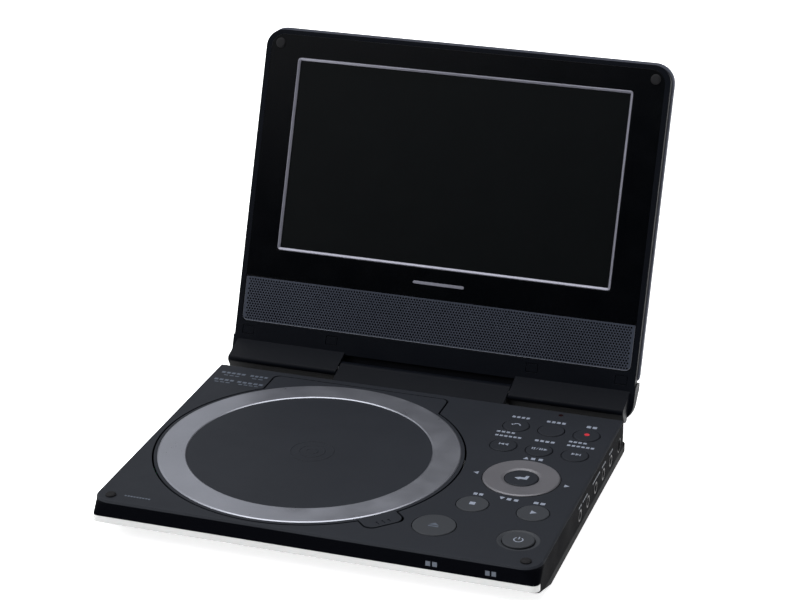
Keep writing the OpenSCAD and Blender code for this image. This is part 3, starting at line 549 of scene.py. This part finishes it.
top_print = (
    strokes(left_x - 4.4, left_x + 4.0, row_1 + 8.6, 1.7, 4)
    + strokes(mid_x - 4.5, mid_x + 4.5, row_1 + 8.5, 1.8, 4)
    + strokes(right_x - 2.5, right_x + 2.8, row_1 + 8.6, 2.0, 2)
    + strokes(left_x - 6.8, left_x + 1.8, row_2 + 12.6, 1.4, 4)
    + strokes(left_x - 6.5, left_x + 5.6, row_2 + 8.9, 1.4, 6)
    + strokes(mid_x - 4.6, mid_x + 4.7, row_2 + 9.0, 1.6, 4)
    + strokes(right_x - 6.1, right_x + 2.2, row_2 + 12.4, 1.4, 4)
    + strokes(right_x - 6.0, right_x + 6.4, row_2 + 8.8, 1.4, 6)
    + [triangle(ROCKER.x - 3.2, arrow_y + 18.6, 2.4, 90), triangle(ROCKER.x - 2.9, arrow_y - 18.9, 2.4, -90),
       triangle(ROCKER.x - 19.3, arrow_y - 0.4, 2.4, 180), triangle(ROCKER.x + 19.4, arrow_y - 0.8, 2.4, 0)]
    + [rectangle(ROCKER.x + dx, arrow_y + dy, 1.8, 1.9) for dx, dy in
       ((-0.2, 18.8), (3.0, 18.9), (0.2, -19.2), (3.2, -19.3))]
    + strokes(STOP.x - 2.6, STOP.x + 2.1, STOP.y + 9.1, 1.8, 2)
    + strokes(PLAY.x - 2.6, PLAY.x + 3.0, PLAY.y + 8.9, 1.8, 2)
)
printed("top_symbols", top_print, "base", 0)
corner_print = (
    strokes(-90.4, -78.4, 131.0, 1.6, 5) + strokes(-88.5, -80.4, 128.4, 0.7, 3)
    + strokes(-76.6, -67.7, 131.0, 1.6, 4) + strokes(-75.0, -69.0, 128.4, 0.7, 2)
    + strokes(-91.0, -81.0, 123.4, 1.6, 4) + strokes(-90.0, -82.0, 120.9, 0.7, 3)
    + strokes(-79.9, -67.0, 123.2, 1.6, 5) + strokes(-78.5, -68.5, 120.9, 0.7, 4)
)
printed("corner_marks", corner_print, "base", 0, DIM_INK)
printed("edge_marks", strokes(-82.0, -70.4, 7.0, 0.9, 9), "base", 0, DIM_INK)


def key_print(key, outlines, material=INK):
    """Symbols on top of a key, which ride on its body of the same name."""
    printed(key + "_symbol", outlines, key, middle(key)[1].z, material)


def shifted(outlines, x, y):
    return [[(a + x, b + y) for a, b in outline] for outline in outlines]


repeat = [arc(0.4, -0.7, 1.15, 1.75, 0, 165), triangle(-1.5, -0.5, 1.5, 265)]
key_print("mode_key", shifted(repeat, UPPER["mode_key"].x - 0.2, row_1 + 0.9))
key_print("standby_key", [circle(UPPER["standby_key"].x, row_1 + 0.6, 1.15)], RED_INK)
back_skip = [rectangle(-2.5, 0, 0.45, 1.8), triangle(-1.3, 0, 1.9, 180), triangle(0.5, 0, 1.9, 180)]
key_print("subtitle_key", shifted(back_skip, UPPER["subtitle_key"].x + 0.6, row_2 + 0.8))
key_print("return_key", shifted([[(-x, y) for x, y in reversed(o)] for o in back_skip],
                                UPPER["return_key"].x - 0.4, row_2 + 0.8))
pause_play = [rectangle(-3.0, 0, 0.5, 1.9), rectangle(-2.1, 0, 0.5, 1.9),
              [(-1.35, -0.95), (-1.05, -0.95), (-0.45, 0.95), (-0.75, 0.95)],
              rectangle(0.3, 0, 0.5, 1.9), rectangle(1.2, 0, 0.5, 1.9), triangle(2.7, 0, 1.9, 0)]
key_print("menu_key", shifted(pause_play, UPPER["menu_key"].x - 0.1, row_2 + 0.9))
enter_arrow = [[(-2.9, -0.9), (-0.5, -2.2), (-0.5, -1.4), (2.5, -1.4), (2.9, 1.9), (1.5, 1.9),
                (1.2, 0.2), (-0.5, 0.2), (-0.5, 0.5)]]
key_print("enter_key", shifted(enter_arrow, ROCKER.x, ROCKER.y + 0.3))
key_print("stop_key", [rectangle(STOP.x - 0.1, STOP.y + 0.2, 2.4, 2.3)])
key_print("play_key", [triangle(PLAY.x + 0.1, PLAY.y + 0.2, 2.9, 0)])
eject = [[(-2.1, -0.3), (2.1, -0.3), (0, 1.7)], rectangle(0, -1.3, 4.2, 0.8)]
key_print("open_key", shifted(eject, OPEN.x, OPEN.y), DIM_INK)
key_print("power_key", [arc(POWER.x, POWER.y - 0.2, 1.55, 2.05, 125, 415),
                        rectangle(POWER.x, POWER.y + 1.1, 0.5, 2.0)])


def on_front(x, y, z):
    return x, -z, y


def on_right(x, y, z):
    return z, x, y


front_marks = strokes(48.2, 53.7, -4.5, 2.1, 2) + strokes(72.4, 77.5, -4.55, 2.1, 2)
front_low, front_high = box_in(CASE, "top_cabinet")
FRONT_SUNK, FRONT_PROUD = 0.05, 0.008  # the marks on the front edge hardly stand out of it
piece("front_marks", prisms(front_marks, -front_low.y - FRONT_SUNK, -front_low.y + FRONT_PROUD, on_front),
      CASE, "base", DIM_INK)
SIDE_LEVEL, SIDE_HEIGHT = -4.4, 0.9
side_marks = []
for start, end, count in ((113.2, 119.5, 3), (100.4, 107.0, 3), (84.5, 97.0, 6), (68.0, 76.0, 4),
                          (61.5, 66.5, 2)):
    side_marks += strokes(start, end, SIDE_LEVEL, SIDE_HEIGHT, count)
piece("side_marks", prisms(side_marks, front_high.x, front_high.x + THICK, on_right), CASE, "base",
      DIM_INK)

# a plain bar where the lid carried a name
panel_face = -box_in(LID, "glossy_panel")[0].y
bar_z = (grille_high.z + box_in(LID, "screen_bezel")[0].z) / 2
BAR_LENGTH, BAR_HEIGHT, BAR_THICK = 24, 1.3, 0.04
piece("lid_bar", prisms([pill(0, bar_z, BAR_LENGTH, BAR_HEIGHT)], panel_face, panel_face + BAR_THICK,
                        lid_shape),
      LID, "lid", MATERIALS["bezel_silver"])

# the embossed mark in the middle of the door: plain rings, as on a disc
ring_mid = middle("door_ring")[0]


MARK_HALF, MARK_HEIGHT, MARK_SUNK = 0.42, 0.12, 0.05


def raised_ring(x, y, r):
    """A low round-topped ridge along a circle on the top of the case."""
    half, height = MARK_HALF, MARK_HEIGHT
    loops = []
    for r_i, z in ((r - half, -MARK_SUNK), (r - half * 0.75, height * 0.7), (r - half * 0.3, height),
                   (r + half * 0.3, height), (r + half * 0.75, height * 0.7), (r + half, -MARK_SUNK)):
        loops.append([(px, py, z) for px, py in circle(x, y, r_i, 96)])
    return ring_loops(loops)


for i, radius in enumerate((2.4, 5.4, 9.2)):
    piece("door_mark_%d" % (i + 1), raised_ring(ring_mid.x + 1, ring_mid.y, radius), CASE,
          "disc_door", MATERIALS["case_plastic"])

# sprung contacts inside the two earphone sockets
GOLD = finish_of("contact_gold", grey(0.80, 0.52, 0.18), 0.25, metallic=1.0, grain=2500, depth=0.004,
                 round_mm=0).material
for name in ("phone_jack_1", "phone_jack_2"):
    low, high = box_in(CASE, name)
    y_mid, z_mid = (low.y + high.y) / 2, (low.z + high.z) / 2
    spine = [(-6.0, -1.72), (-3.6, -1.70), (-2.3, -1.1), (-1.6, -0.7), (-1.0, -0.8), (-0.5, -1.4)]
    loops = []
    for x, drop in spine:
        loops.append([(high.x + x, y_mid + dy, z_mid + drop + dz) for dy, dz in
                      ((-0.8, 0), (0.8, 0), (0.8, 0.2), (-0.8, 0.2))])
    vertices, faces = ring_loops(loops, closed=False)
    faces += [(3, 2, 1, 0), tuple(len(vertices) - 4 + i for i in range(4))]
    piece(name + "_contact", (vertices, faces), CASE, "base", GOLD)

# ---------- stage, lights and camera ----------

FLOOR_WIDTH = 18
floor_mesh = bpy.data.meshes.new("floor")
floor_mesh.from_pydata([(x, y, 0) for x, y in rectangle(0, 0, FLOOR_WIDTH, FLOOR_WIDTH)], [], [(0, 1, 2, 3)])
floor = bpy.data.objects.new("floor", floor_mesh)
bpy.context.scene.collection.objects.link(floor)
floor_finish = finish_of("floor_white", grey(0.9, 0.9, 0.9), 0.7, grain=300, depth=0.01, drift=0.004,
                         specular=0.1, round_mm=0)
floor_finish.shader.inputs["Emission Color"].default_value = grey(1.0, 1.0, 1.0)
floor_finish.shader.inputs["Emission Strength"].default_value = 0.85
floor_mesh.materials.append(floor_finish.material)

scene = bpy.context.scene
world = bpy.data.worlds.new("studio")
scene.world = world
world.use_nodes = True
tree = world.node_tree
background = tree.nodes["Background"]
place = tree.nodes.new("ShaderNodeTexCoord")
# dark low down and bright above, more so to the left
slant = tree.nodes.new("ShaderNodeVectorMath")
slant.operation = "DOT_PRODUCT"
slant.inputs[1].default_value = (-0.5, 0.0, 1.0)
ramp = tree.nodes.new("ShaderNodeValToRGB")
for stop, position, colour in zip(ramp.color_ramp.elements, (0.49, 0.66),
                                  (grey(0.012, 0.014, 0.018), grey(0.95, 0.97, 1.0))):
    stop.position, stop.color = position, colour
tree.links.new(place.outputs["Generated"], slant.inputs[0])
tree.links.new(slant.outputs["Value"], ramp.inputs[0])
tree.links.new(ramp.outputs[0], background.inputs["Color"])
background.inputs["Strength"].default_value = 1.0


def look(obj, position, target):
    """Puts a light or camera at a position, pointing at a target."""
    obj.location = position
    obj.rotation_euler = (Vector(target) - Vector(position)).to_track_quat("-Z", "Y").to_euler()


def softbox(name, position, target, width, height, power):
    data = bpy.data.lights.new(name, "AREA")
    data.shape = "RECTANGLE"
    data.size, data.size_y, data.energy = width, height, power
    light = bpy.data.objects.new(name, data)
    scene.collection.objects.link(light)
    look(light, position, target)


softbox("overhead", (-0.3, 0.1, 2.3), (0, 0, 0), 2.6, 2.2, 62)
softbox("left_front", (-1.7, -1.0, 1.3), (0, 0, 0.05), 1.0, 1.0, 16)
softbox("right", (2.0, 0.2, 1.0), (0, 0, 0.05), 0.8, 1.2, 5)

camera_data = bpy.data.cameras.new("camera")
camera_data.lens = 108
camera_data.sensor_width = 36
camera = bpy.data.objects.new("camera", camera_data)
scene.collection.objects.link(camera)
look(camera, (0.2976, -0.88718, 0.4706), (-0.0401, 0.12729, 0.018))
scene.camera = camera
scene.view_settings.view_transform = "Standard"
